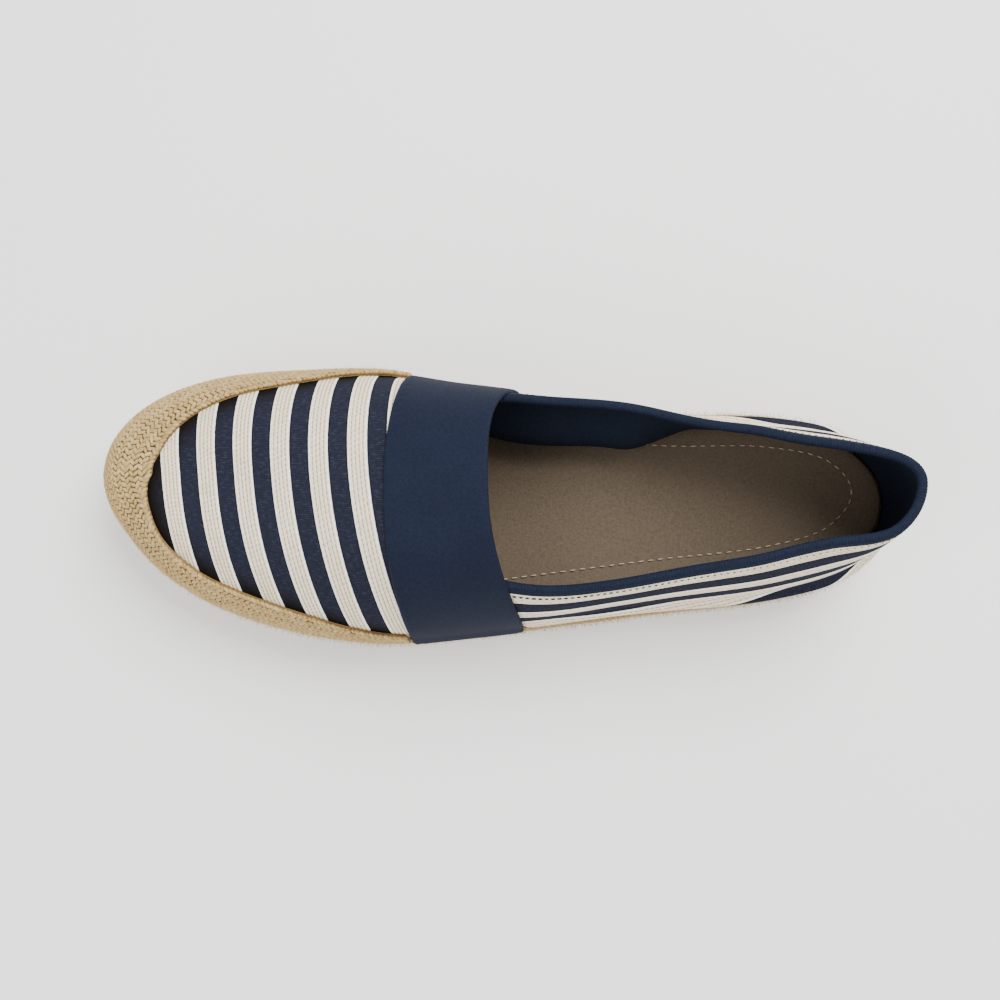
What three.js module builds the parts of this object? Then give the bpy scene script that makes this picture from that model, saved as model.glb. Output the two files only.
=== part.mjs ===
// A woman's espadrille for the left foot: a striped cloth upper with an elastic band over the
// instep, a jute toe bumper, a jute-wrapped sole on a thin rubber outsole, and an insole inside.
//
// The frame: +X runs from heel to toe, +Y is the outer (lateral) side of the left foot and +Z is
// up. The origin is on the floor under the middle of the shoe. Everything is in millimetres.
// Sections are named by s, the distance from the back of the sole, so x = s - LENGTH / 2. The
// tables measure sideways from a line through the heel, and y is counted from the middle width.

import * as THREE from "three";
import { mergeVertices } from "three/addons/utils/BufferGeometryUtils.js";

// ---------------------------------------------------------------- driving dimensions

const LENGTH = 252.2; // back of the sole to the tip of the toe
const MIDWIDTH = -1.57; // middle of the whole width, in the tables' own sideways measure
const GAP = 0.3; // clearance between pieces that touch
const RAND = 2.2; // how far the sole stands out past the foot of the upper
const WALL = 1.8; // cloth, interlining and lining together
const CAP = 2.0; // thickness of the jute toe bumper
const BAND = 1.2; // thickness of the elastic band
const OUTSOLE = 3.2; // rubber
const INSOLE = 2.6; // sock and its padding
const INSOLE_CLEARANCE = 0.5; // between the insole's edge and the inside of the upper
const TOE_SPRING = 7; // lift of the sole under the tip of the toe
const ARCH = 2; // lift of the sole under the waist
const HEEL_SPOT_END = 62; // the heel stands flat up to here
const BALL_SPOT = { from: 138, to: 190 }; // the forefoot stands flat between these
const FLARE_POWER = 16; // how quickly the flare above the foot dies out
const RIDGE = { heel: 27.9, toe: 226 }; // where the sections of the heel back and toe tip close
const BAND_EDGE = { front: 158.6, rear: 129, frontSweep: 5, rearSweep: 10.5 };
const THROAT = 132; // front end of the opening, hidden under the band
const THROAT_CORNER = 1.5; // the topline reaches this close to it
const CAP_END = 155.5; // the toe bumper ends here on both sides, just ahead of the band

const STATIONS = 38; // columns on each side of the shoe
const WALL_ROWS = 14;
const BAND_ROWS = 7;
const BAND_COLUMNS = 36;
const CAP_ROWS = 7;
const WELD = 2e-3; // vertices closer than this are one

// The outline of the jute sole, seen from above.
const PLAN = [
  { s: 0, medial: -2.0, lateral: -2.0 },
  { s: 5, medial: -16.0, lateral: 12.0 },
  { s: 17, medial: -25.5, lateral: 22.5 },
  { s: 40, medial: -30.5, lateral: 29.3 },
  { s: 75, medial: -31.2, lateral: 33.4 },
  { s: 105, medial: -33.8, lateral: 37.2 },
  { s: 135, medial: -39.5, lateral: 40.8 },
  { s: 162, medial: -45.2, lateral: 43.0 },
  { s: 190, medial: -45.6, lateral: 39.6 },
  { s: 214.5, medial: -43.4, lateral: 32.0 },
  { s: 233.5, medial: -37.0, lateral: 20.6 },
  { s: 245.7, medial: -27.4, lateral: 6.8 },
  { s: 252.2, medial: -10.0, lateral: -10.0 },
];

// The last: height and sideways place of its ridge, how strongly each side pulls in above the
// foot of the upper, and how much of that happens at once, in a flare just above the foot.
// Behind the throat the ridge is only the form's own top.
const LAST = [
  { s: 0, height: 86, middle: -2.0, medial: 0.55, lateral: 0.55, medialFlare: 0, lateralFlare: 0 },
  { s: 9, height: 86, middle: -2.0, medial: 1.26, lateral: 0.44, medialFlare: 0.06, lateralFlare: 0.03 },
  { s: 25, height: 86, middle: -2.0, medial: 1.9, lateral: 1.44, medialFlare: 0.1, lateralFlare: 0.03 },
  { s: 50, height: 86, middle: -2.0, medial: 1.16, lateral: 1.52, medialFlare: 0.15, lateralFlare: 0.04 },
  { s: 90, height: 80, middle: -2.5, medial: 0.28, lateral: 1.0, medialFlare: 0.03, lateralFlare: 0.03 },
  { s: 112, height: 75, middle: -3.0, medial: 0.5, lateral: 0.92, medialFlare: 0, lateralFlare: 0 },
  { s: 130, height: 70, middle: -3.5, medial: 0.6, lateral: 0.95, medialFlare: 0, lateralFlare: 0 },
  { s: 160, height: 60, middle: -4.0, medial: 0.95, lateral: 0.9, medialFlare: 0, lateralFlare: 0 },
  { s: 190, height: 50, middle: -6.0, medial: 1.0, lateral: 0.95, medialFlare: 0, lateralFlare: 0 },
  { s: 225, height: 38, middle: -9.0, medial: 0.82, lateral: 0.8, medialFlare: 0, lateralFlare: 0 },
  { s: 252, height: 32, middle: -10.0, medial: 0.66, lateral: 0.66, medialFlare: 0, lateralFlare: 0 },
];

// Height of the sole from its underside to the foot of the upper.
const SOLE = [
  { s: 0, thick: 20 },
  { s: 50, thick: 19.5 },
  { s: 100, thick: 16.5 },
  { s: 150, thick: 13.5 },
  { s: 200, thick: 12.5 },
  { s: 252, thick: 11.5 },
];

// The topline of the quarters from the side.
const TOPLINE = [
  { s: 0, z: 73 },
  { s: 12, z: 70.5 },
  { s: 40, z: 61 },
  { s: 75, z: 54 },
  { s: 105, z: 53 },
  { s: 135, z: 57 },
];

// The height of the toe bumper's upper edge at places round the outline, from the outer side
// over the toe's tip (1) to the inner side.
const BUMPER = [
  { round: 0.56, z: 22.0 },
  { round: 0.6, z: 27.5 },
  { round: 0.65, z: 31.5 },
  { round: 0.7, z: 32.6 },
  { round: 0.78, z: 32.3 },
  { round: 0.83, z: 33.2 },
  { round: 0.88, z: 35.0 },
  { round: 0.95, z: 36.1 },
  { round: 1.05, z: 36.4 },
  { round: 1.13, z: 36.9 },
  { round: 1.2, z: 36.9 },
  { round: 1.27, z: 36.2 },
  { round: 1.33, z: 34.8 },
  { round: 1.39, z: 31.0 },
  { round: 1.44, z: 26.0 },
];

// ---------------------------------------------------------------- curves and sections

// A smooth curve through one column of a table, level with its neighbours' slopes.
function through(table, column, s, key = (row) => row.s) {
  const k = table.map(key);
  const v = table.map((row) => row[column]);
  const last = k.length - 1;
  const x = Math.min(Math.max(s, k[0]), k[last]);
  const rise = (i) => (v[i + 1] - v[i]) / (k[i + 1] - k[i]);
  const inner = (i) => {
    const before = k[i] - k[i - 1];
    const after = k[i + 1] - k[i];
    return (rise(i - 1) * after + rise(i) * before) / (before + after);
  };
  const slope = (i) => {
    if (i === 0) return 1.5 * rise(0) - 0.5 * inner(1);
    if (i === last) return 1.5 * rise(last - 1) - 0.5 * inner(last - 1);
    return inner(i);
  };
  let i = 0;
  while (i < last - 1 && x > k[i + 1]) i++;
  const h = k[i + 1] - k[i];
  const t = (x - k[i]) / h;
  return (
    (2 * t ** 3 - 3 * t ** 2 + 1) * v[i] +
    (t ** 3 - 2 * t ** 2 + t) * h * slope(i) +
    (3 * t ** 2 - 2 * t ** 3) * v[i + 1] +
    (t ** 3 - t ** 2) * h * slope(i + 1)
  );
}

// Stations crowd towards heel and toe, so that both ends come out round.
const turnOf = (s) => Math.acos(Math.min(1, Math.max(-1, 1 - (2 * s) / LENGTH))) / Math.PI;
const stationAt = (turn) => (LENGTH * (1 - Math.cos(Math.PI * turn))) / 2;

const smoothHump = (t) => Math.sin(Math.PI * Math.min(1, Math.max(0, t))) ** 2;

// Underside of the sole: flat under heel and ball, lifted at the waist and the toe.
function underside(s) {
  const waist = (s - HEEL_SPOT_END) / (BALL_SPOT.from - HEEL_SPOT_END);
  const toe = Math.max(0, (s - BALL_SPOT.to) / (LENGTH - BALL_SPOT.to));
  return ARCH * smoothHump(waist) + TOE_SPRING * toe ** 2;
}

const soleTop = (s) => underside(s) + through(SOLE, "thick", s);

// Each section closes on the ridge at its own place, nearer the middle of the shoe than its foot.
const ridgeOf = (station) => RIDGE.heel + ((RIDGE.toe - RIDGE.heel) * station) / LENGTH;

// A place round the outline: 0 at the heel's back, 1 at the toe's tip by the outer side, and on
// to 2 by the inner side. The sole's outline there, moved in by inset square to itself.
const wrapped = (round) => ((round % 2) + 2) % 2;
const sideOf = (round) => (wrapped(round) <= 1 ? "lateral" : "medial");

function outline(round, inset = 0) {
  const at = (r) => {
    const turn = Math.min(wrapped(r), 2 - wrapped(r));
    return { s: stationAt(turn), y: through(PLAN, sideOf(r), turn, (row) => turnOf(row.s)) };
  };
  const step = 1e-3;
  const { s, y } = at(round);
  const before = at(round - step);
  const after = at(round + step);
  const ds = after.s - before.s;
  const dy = after.y - before.y;
  const length = Math.hypot(ds, dy);
  return { station: s, s: s + (inset * dy) / length, y: y - (inset * ds) / length };
}

// A point of the last: up its side from the foot of the upper (climb 0) to the ridge (climb 1).
// Near the ridge a section takes on the ridge's own slope, so that the toe has no crease.
function onLast(round, climb) {
  const foot = outline(round, RAND);
  const ridgeS = ridgeOf(foot.station);
  const height = through(LAST, "height", ridgeS);
  const fall = (through(LAST, "height", ridgeS + 1) - through(LAST, "height", ridgeS - 1)) / 2;
  const middle = through(LAST, "middle", ridgeS);
  const pull = through(LAST, sideOf(round), foot.station);
  const flare = through(LAST, sideOf(round) + "Flare", foot.station);
  const angle = (climb * Math.PI) / 2;
  const rise = Math.sin(angle);
  const flared = (1 - rise) ** FLARE_POWER * (1 + FLARE_POWER * rise);
  const out = (1 - flare) * Math.cos(angle) ** pull + flare * flared;
  const footZ = soleTop(foot.s) + GAP;
  const ahead = (foot.s - ridgeS) * out;
  return new THREE.Vector3(
    ridgeS + ahead,
    middle + (foot.y - middle) * out,
    footZ + (height - footZ) * rise + fall * ahead * (1 - out),
  );
}

// The same point on a larger or smaller form, moved out square to the surface. The ridge belongs
// to both sides, so its direction is the one between them.
function onForm(round, climb, offset) {
  const step = 2e-3;
  const beside = 0.97; // the last climb at which one side alone gives the direction
  const square = (r, at) => {
    const along = onLast(r + step, at).sub(onLast(r - step, at));
    const up = onLast(r, at + step).sub(onLast(r, at - step));
    return along.cross(up).negate().normalize();
  };
  const at = Math.min(Math.max(climb, step), beside);
  const normal = square(round, at);
  const share = Math.max(0, climb - beside) / (1 - beside);
  normal.lerp(square(2 - round, at), share / 2).normalize();
  return onLast(round, climb).addScaledVector(normal, offset);
}

// The first climb, going up one side of the last, at which a test of the point turns positive.
function climbWhere(round, test) {
  let low = 0;
  let high = 1;
  for (let i = 0; i < 30; i++) {
    const middle = (low + high) / 2;
    if (test(onLast(round, middle)) < 0) low = middle;
    else high = middle;
  }
  return high;
}

// The place round the outline whose section passes through s at a given climb.
function roundWhere(s, climb, side) {
  const at = (turn) => (side === "lateral" ? turn : 2 - turn);
  let low = 0;
  let high = 1;
  for (let i = 0; i < 30; i++) {
    const middle = (low + high) / 2;
    if (onLast(at(middle), climb).x < s) low = middle;
    else high = middle;
  }
  return at(low);
}

// ---------------------------------------------------------------- skins of triangles

// Collects faces and welds what coincides. In a grid, rows lead up and columns run clockwise
// round the shoe seen from above, or rows lead forward and columns run to the outer side.
class Skin {
  corners = [];

  square(a, b, c, d) {
    this.corners.push(a, b, c, a, c, d);
  }

  grid(rows, { closed = false, inner = false } = {}) {
    for (let j = 0; j + 1 < rows.length; j++) {
      const count = rows[j].length;
      for (let i = 0; i < (closed ? count : count - 1); i++) {
        const n = (i + 1) % count;
        const ring = [rows[j][i], rows[j + 1][i], rows[j + 1][n], rows[j][n]];
        if (inner) ring.reverse();
        this.square(...ring);
      }
    }
  }

  // A closed outline filled from side to side, station by station.
  fill(ring, facingUp) {
    const count = ring.length;
    for (let i = 0; i < count / 2; i++) {
      const across = [ring[i], ring[i + 1], ring[count - i - 1], ring[(count - i) % count]];
      if (facingUp) across.reverse();
      this.square(...across);
    }
  }

  geometry() {
    const numbers = this.corners.flatMap((p) => [p.x - LENGTH / 2, p.y - MIDWIDTH, p.z]);
    const loose = new THREE.BufferGeometry();
    loose.setAttribute("position", new THREE.Float32BufferAttribute(numbers, 3));
    const welded = mergeVertices(loose, WELD);
    const index = [...welded.index.array];
    const faces = [];
    for (let i = 0; i < index.length; i += 3) {
      const [a, b, c] = index.slice(i, i + 3);
      if (a !== b && b !== c && c !== a) faces.push(a, b, c);
    }
    welded.setIndex(faces);
    welded.computeVertexNormals();
    return welded;
  }
}

// A panel with thickness: two grids over the same ground, joined round their four edges.
function panel(outside, inside) {
  const skin = new Skin();
  const last = outside.length - 1;
  const column = (rows, i) => rows.map((row) => row.at(i));
  skin.grid(outside);
  skin.grid(inside, { inner: true });
  skin.grid([inside[0], outside[0]]);
  skin.grid([outside[last], inside[last]]);
  skin.grid([column(outside, 0), column(inside, 0)]);
  skin.grid([column(inside, -1), column(outside, -1)]);
  return skin.geometry();
}

// Numbers from a to b in equal steps, both ends included.
const steps = (a, b, count) => Array.from({ length: count + 1 }, (_, i) => a + ((b - a) * i) / count);

// Places round the shoe, clockwise seen from above: the heel's back, the outer side, the toe's
// tip, the inner side. One station falls on the throat, where the sides of the vamp part, and
// one just behind it, so that the opening has a sharp corner there.
function placesRound() {
  const turnOfRidge = (s) => turnOf(((s - RIDGE.heel) * LENGTH) / (RIDGE.toe - RIDGE.heel));
  const corner = turnOfRidge(THROAT - THROAT_CORNER);
  const throat = turnOfRidge(THROAT);
  const aft = Math.round(STATIONS * corner);
  const turns = [...steps(0, corner, aft), ...steps(throat, 1, STATIONS - aft)];
  const wayBack = turns.slice(1, -1).reverse();
  return [...turns, ...wayBack.map((turn) => 2 - turn)];
}

const ROUND = placesRound();

// ---------------------------------------------------------------- the pieces

// The hollow upper: the last's surface outside and the same surface a wall further in inside,
// open underneath, and open above behind the throat.
function upper() {
  const isVamp = (round) => ridgeOf(outline(round).station) > THROAT - 1e-6;
  const toTopline = (p) => p.z - through(TOPLINE, "z", p.x);
  const tops = ROUND.map((round) => (isVamp(round) ? 1 : climbWhere(round, toTopline)));
  const wall = (offset) =>
    steps(0, 1, WALL_ROWS).map((share) => ROUND.map((round, i) => onForm(round, tops[i] * share, offset)));
  const outside = wall(0);
  const inside = wall(-WALL);

  const throat = ROUND.findIndex(isVamp);
  const rimOrder = [...ROUND.keys()].filter((i) => i <= throat || i >= ROUND.length - throat);
  rimOrder.push(...rimOrder.splice(0, throat + 1));
  const rim = (grid) => rimOrder.map((i) => grid[WALL_ROWS][i]);

  const skin = new Skin();
  skin.grid(outside, { closed: true });
  skin.grid(inside, { closed: true, inner: true });
  skin.grid([inside[0], outside[0]], { closed: true });
  skin.grid([rim(outside), rim(inside)]);
  return skin.geometry();
}

// The jute bumper round the toe, between two forms larger than the upper.
function toeBumper() {
  const start = roundWhere(CAP_END, 0, "lateral");
  const end = roundWhere(CAP_END, 0, "medial");
  const places = [start, ...ROUND.filter((round) => round > start + 0.01 && round < end - 0.01), end];
  const edge = (round) => through(BUMPER, "z", round, (row) => row.round);
  const tops = places.map((round) => climbWhere(round, (p) => p.z - edge(round)));
  const side = (offset) =>
    steps(0, 1, CAP_ROWS).map((share) => places.map((round, i) => onForm(round, tops[i] * share, offset)));
  return panel(side(GAP + CAP), side(GAP));
}

// The elastic band over the instep, between two forms larger than the upper. Both edges sweep
// back towards the heel on their way down.
function elasticBand() {
  const edge = (s, sweep, climb) => s - sweep * Math.cos((climb * Math.PI) / 2) ** 2;
  const across = steps(-1, 1, BAND_COLUMNS);
  const side = (offset) =>
    steps(0, 1, BAND_ROWS).map((share) =>
      across.map((way) => {
        const climb = 1 - Math.abs(way);
        const rear = edge(BAND_EDGE.rear, BAND_EDGE.rearSweep, climb);
        const front = edge(BAND_EDGE.front, BAND_EDGE.frontSweep, climb);
        const round = roundWhere(rear + (front - rear) * share, climb, way > 0 ? "lateral" : "medial");
        return onForm(round, climb, offset);
      }),
    );
  return panel(side(GAP + BAND), side(GAP));
}

// A slab with the sole's outline: rings from the underside to the top, each moved in by its
// inset and lying at its own height over each station.
function slab(rings) {
  const rows = rings.map(({ inset, height }) =>
    ROUND.map((round) => {
      const p = outline(round, inset);
      return new THREE.Vector3(p.s, p.y, height(p.s));
    }),
  );
  const skin = new Skin();
  skin.grid(rows, { closed: true });
  skin.fill(rows[0], false);
  skin.fill(rows.at(-1), true);
  return skin.geometry();
}

function outsole() {
  const bevel = 0.8;
  return slab([
    { inset: bevel, height: underside },
    { inset: 0, height: (s) => underside(s) + bevel },
    { inset: 0, height: (s) => underside(s) + OUTSOLE },
  ]);
}

function midsole() {
  const foot = (s) => underside(s) + OUTSOLE + GAP;
  const shoulder = 1.2;
  return slab([
    { inset: 0.5, height: foot },
    { inset: 0, height: (s) => foot(s) + 0.3 * (soleTop(s) - foot(s)) },
    { inset: 0, height: (s) => soleTop(s) - shoulder },
    { inset: 0.8 * shoulder, height: soleTop },
  ]);
}

function insole() {
  const inset = RAND + WALL + INSOLE_CLEARANCE;
  const floor = (s) => soleTop(s) + GAP;
  return slab([
    { inset, height: floor },
    { inset: inset + 0.4, height: (s) => floor(s) + 0.6 * INSOLE },
    { inset: inset + 1.4, height: (s) => floor(s) + INSOLE },
  ]);
}

// ---------------------------------------------------------------- the assembly

const PIECES = [
  { name: "outsole", make: outsole, color: 0xcdb9a0, roughness: 0.75 },
  { name: "midsole", make: midsole, color: 0xc7b48c, roughness: 0.95 },
  { name: "insole", make: insole, color: 0x8f7354, roughness: 0.9 },
  { name: "upper", make: upper, color: 0xe2d9c8, roughness: 0.9 },
  { name: "toe_bumper", make: toeBumper, color: 0xc7b48c, roughness: 0.95 },
  { name: "elastic_band", make: elasticBand, color: 0x25304c, roughness: 0.8 },
];

const shoe = new THREE.Group();
shoe.name = "espadrille_left";
for (const { name, make, color, roughness } of PIECES) {
  const mesh = new THREE.Mesh(make(), new THREE.MeshStandardMaterial({ color, roughness, metalness: 0 }));
  mesh.name = name;
  shoe.add(mesh);
}

export default shoe;
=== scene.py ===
# Left espadrille: striped cloth upper, elastic band, jute sole and toe bumper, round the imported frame.
# +X runs from heel to toe, +Y is the outer side of the foot. The shape functions count in millimetres,
# with s from the back of the sole; toMetres turns their points into the frame's metres.
import math
import bpy
import numpy as np
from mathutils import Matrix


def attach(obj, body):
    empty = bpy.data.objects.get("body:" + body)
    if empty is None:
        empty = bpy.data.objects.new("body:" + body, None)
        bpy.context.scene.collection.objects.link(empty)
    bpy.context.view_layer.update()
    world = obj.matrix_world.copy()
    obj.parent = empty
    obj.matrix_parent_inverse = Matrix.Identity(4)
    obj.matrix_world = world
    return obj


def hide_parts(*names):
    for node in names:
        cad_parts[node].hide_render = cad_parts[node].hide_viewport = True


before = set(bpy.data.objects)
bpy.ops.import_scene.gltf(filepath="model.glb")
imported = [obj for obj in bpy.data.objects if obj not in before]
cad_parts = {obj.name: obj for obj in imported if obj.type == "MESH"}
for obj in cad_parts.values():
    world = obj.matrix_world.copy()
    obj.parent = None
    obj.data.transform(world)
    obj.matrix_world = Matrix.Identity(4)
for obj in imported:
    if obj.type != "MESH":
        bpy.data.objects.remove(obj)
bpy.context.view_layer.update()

shoe = {
    "length": 252.2,
    "midWidth": -1.57,  # middle of the whole width, in the tables' sideways measure
    "rand": 2.2,  # how far the sole stands out past the foot of the upper
    "gap": 0.3,
    "toeSpring": 7.0,
    "arch": 2.0,
    "heelFlat": 62.0,
    "ballFrom": 138.0,
    "ballTo": 190.0,
    "ridgeHeel": 27.9,  # the sections of the heel back close here
    "ridgeToe": 226.0,  # and those of the toe tip here
    "rubber": 3.2,
    "flarePower": 16,  # how quickly the flare above the foot dies out
}

# s, inner side, outer side of the sole's outline
solePlan = [
    (0, -2, -2), (5, -16, 12), (17, -25.5, 22.5), (40, -30.5, 29.3), (75, -31.2, 33.4), (105, -33.8, 37.2),
    (135, -39.5, 40.8), (162, -45.2, 43), (190, -45.6, 39.6), (214.5, -43.4, 32), (233.5, -37, 20.6),
    (245.7, -27.4, 6.8), (252.2, -10, -10),
]
# s, height of the ridge, its sideways place, then inner and outer side's pull and their flare at the foot
lastShape = [
    (0, 86, -2, 0.55, 0.55, 0, 0), (9, 86, -2, 1.26, 0.44, 0.06, 0.03), (25, 86, -2, 1.9, 1.44, 0.1, 0.03),
    (50, 86, -2, 1.16, 1.52, 0.15, 0.04), (90, 80, -2.5, 0.28, 1, 0.03, 0.03),
    (112, 75, -3, 0.5, 0.92, 0, 0), (130, 70, -3.5, 0.6, 0.95, 0, 0), (160, 60, -4, 0.95, 0.9, 0, 0),
    (190, 50, -6, 1, 0.95, 0, 0), (225, 38, -9, 0.82, 0.8, 0, 0), (252, 32, -10, 0.66, 0.66, 0, 0),
]
# s, height of the sole from its underside to the foot of the upper
soleThick = [(0, 20), (50, 19.5), (100, 16.5), (150, 13.5), (200, 12.5), (252, 11.5)]
# s, height of the collar's edge
topline = [(0, 73), (12, 70.5), (40, 61), (75, 54), (105, 53), (135, 57)]
# place round the outline, height of the bumper's edge there
bumperEdge = [
    (0.56, 22), (0.6, 27.5), (0.65, 31.5), (0.7, 32.6), (0.78, 32.3), (0.83, 33.2), (0.88, 35), (0.95, 36.1),
    (1.05, 36.4), (1.13, 36.9), (1.2, 36.9), (1.27, 36.2), (1.33, 34.8), (1.39, 31), (1.44, 26),
]


# A smooth curve through knots, as a function of arrays
def smoothCurve(knots, values):
    k = np.array(knots, float)
    v = np.array(values, float)
    rise = np.diff(v) / np.diff(k)
    before = np.diff(k)[:-1]
    after = np.diff(k)[1:]
    slope = np.empty_like(v)
    slope[1:-1] = (rise[:-1] * after + rise[1:] * before) / (before + after)
    slope[0] = 1.5 * rise[0] - 0.5 * slope[1]
    slope[-1] = 1.5 * rise[-1] - 0.5 * slope[-2]

    def at(x):
        x = np.clip(x, k[0], k[-1])
        i = np.clip(np.searchsorted(k, x, side="right") - 1, 0, len(k) - 2)
        h = k[i + 1] - k[i]
        t = (x - k[i]) / h
        return (
            (2 * t**3 - 3 * t**2 + 1) * v[i]
            + (t**3 - 2 * t**2 + t) * h * slope[i]
            + (3 * t**2 - 2 * t**3) * v[i + 1]
            + (t**3 - t**2) * h * slope[i + 1]
        )

    return at


def column(table, i):
    return [row[i] for row in table]


def turnOf(s):
    return np.arccos(np.clip(1 - 2 * np.asarray(s, float) / shoe["length"], -1, 1)) / math.pi


def stationAt(turn):
    return shoe["length"] * (1 - np.cos(math.pi * turn)) / 2


planInner = smoothCurve(turnOf(column(solePlan, 0)), column(solePlan, 1))
planOuter = smoothCurve(turnOf(column(solePlan, 0)), column(solePlan, 2))
ridgeHeight, ridgeMiddle, pullInner, pullOuter, flareInner, flareOuter = (
    smoothCurve(column(lastShape, 0), column(lastShape, i)) for i in range(1, 7)
)
thickness = smoothCurve(column(soleThick, 0), column(soleThick, 1))
toplineHeight = smoothCurve(column(topline, 0), column(topline, 1))
bumperHeight = smoothCurve(column(bumperEdge, 0), column(bumperEdge, 1))


def underside(s):
    waist = np.clip((s - shoe["heelFlat"]) / (shoe["ballFrom"] - shoe["heelFlat"]), 0, 1)
    toe = np.maximum(0, (s - shoe["ballTo"]) / (shoe["length"] - shoe["ballTo"]))
    return shoe["arch"] * np.sin(math.pi * waist) ** 2 + shoe["toeSpring"] * toe**2


def soleTop(s):
    return underside(s) + thickness(s)


def ridgeOf(station):
    return shoe["ridgeHeel"] + (shoe["ridgeToe"] - shoe["ridgeHeel"]) * station / shoe["length"]


# The station whose section closes at a place on the ridge
def stationUnder(ridge):
    return (ridge - shoe["ridgeHeel"]) * shoe["length"] / (shoe["ridgeToe"] - shoe["ridgeHeel"])


# The sole's outline at a place round the shoe: 0 heel back, 1 toe tip by the outer side, on to 2
def outline(place, inset=0.0):
    def at(r):
        r = r % 2
        turn = np.minimum(r, 2 - r)
        return stationAt(turn), np.where(r <= 1, planOuter(turn), planInner(turn))

    step = 1e-3
    s, y = at(place)
    s0, y0 = at(place - step)
    s1, y1 = at(place + step)
    length = np.hypot(s1 - s0, y1 - y0)
    return s, s + inset * (y1 - y0) / length, y - inset * (s1 - s0) / length


# The last's surface, from the foot of the upper (climb 0) to the ridge (climb 1)
def onLast(place, climb):
    place, climb = np.broadcast_arrays(np.asarray(place, float), np.asarray(climb, float))
    station, s, y = outline(place, shoe["rand"])
    ridge = ridgeOf(station)
    height = ridgeHeight(ridge)
    fall = (ridgeHeight(ridge + 1) - ridgeHeight(ridge - 1)) / 2
    middle = ridgeMiddle(ridge)
    isOuter = place % 2 <= 1
    pull = np.where(isOuter, pullOuter(station), pullInner(station))
    flare = np.where(isOuter, flareOuter(station), flareInner(station))
    angle = climb * math.pi / 2
    rise = np.sin(angle)
    flared = (1 - rise) ** shoe["flarePower"] * (1 + shoe["flarePower"] * rise)
    out = (1 - flare) * np.clip(np.cos(angle), 0, 1) ** pull + flare * flared
    foot = soleTop(s) + shoe["gap"]
    ahead = (s - ridge) * out
    z = foot + (height - foot) * rise + fall * ahead * (1 - out)
    return np.stack([ridge + ahead, middle + (y - middle) * out, z], -1)


def unit(v):
    return v / np.maximum(np.linalg.norm(v, axis=-1, keepdims=True), 1e-9)


# Direction out of the last, square to it; on the ridge it is the one between both sides
def lastNormal(place, climb):
    step = 2e-3
    beside = 0.97
    place, climb = np.broadcast_arrays(np.asarray(place, float), np.asarray(climb, float))
    at = np.clip(climb, step, beside)

    def square(r):
        along = onLast(r + step, at) - onLast(r - step, at)
        up = onLast(r, at + step) - onLast(r, at - step)
        return unit(-np.cross(along, up))

    share = (np.maximum(0, climb - beside) / (1 - beside) / 2)[..., None]
    return unit(square(place) * (1 - share) + square(2 - place) * share)


def onForm(place, climb, offset):
    return onLast(place, climb) + lastNormal(place, climb) * np.asarray(offset, float)[..., None]


# Where a test of the last's points turns positive, between two ends; all places at once
def firstWhere(test, low, high):
    low = np.array(low, float)
    high = np.array(high, float)
    for i in range(28):
        middle = (low + high) / 2
        negative = test(middle) < 0
        low = np.where(negative, middle, low)
        high = np.where(negative, high, middle)
    return high


# The climb at which the section reaches the topline
def toplineClimb(place):
    def above(climb):
        p = onLast(place, climb)
        return p[..., 2] - toplineHeight(p[..., 0])

    return firstWhere(above, np.zeros(len(place)), np.ones(len(place)))


# Climbs that lie the given distances along each section, measured from one climb towards another
def climbsAlong(places, start, end, distances, samples=90):
    share = np.linspace(0, 1, samples)
    climbs = start[:, None] + (end - start)[:, None] * share
    p = onLast(places[:, None], climbs)
    run = np.concatenate([np.zeros((len(places), 1)),
                          np.cumsum(np.linalg.norm(np.diff(p, axis=1), axis=-1), axis=1)], axis=1)
    found = np.stack([np.interp(distances[i] if distances.ndim == 2 else distances, run[i], climbs[i])
                      for i in range(len(places))])
    return found, run[:, -1]


def lengthAlong(points):
    return np.concatenate([[0], np.cumsum(np.linalg.norm(np.diff(points, axis=0), axis=-1))])


def toMetres(points):
    return (points - np.array([shoe["length"] / 2, shoe["midWidth"], 0])) / 1000


def meshObject(name, points, faces, attributes=None, edges=()):
    mesh = bpy.data.meshes.new(name)
    mesh.from_pydata(toMetres(points).tolist(), list(edges), faces)
    for key, values in (attributes or {}).items():
        kind = "FLOAT_VECTOR" if values.ndim == 2 else "FLOAT"
        layer = mesh.attributes.new(key, kind, "POINT")
        layer.data.foreach_set("vector" if values.ndim == 2 else "value", values.astype(np.float32).ravel())
    mesh.update()
    obj = bpy.data.objects.new(name, mesh)
    bpy.context.scene.collection.objects.link(obj)
    return obj


# Quads over a grid of points, whose columns may close on themselves
def gridFaces(rows, columns, closed=False):
    faces = []
    for j in range(rows - 1):
        for i in range(columns if closed else columns - 1):
            here, above = j * columns, (j + 1) * columns
            after = (i + 1) % columns
            faces.append((here + i, above + i, above + after, here + after))
    return faces


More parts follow.
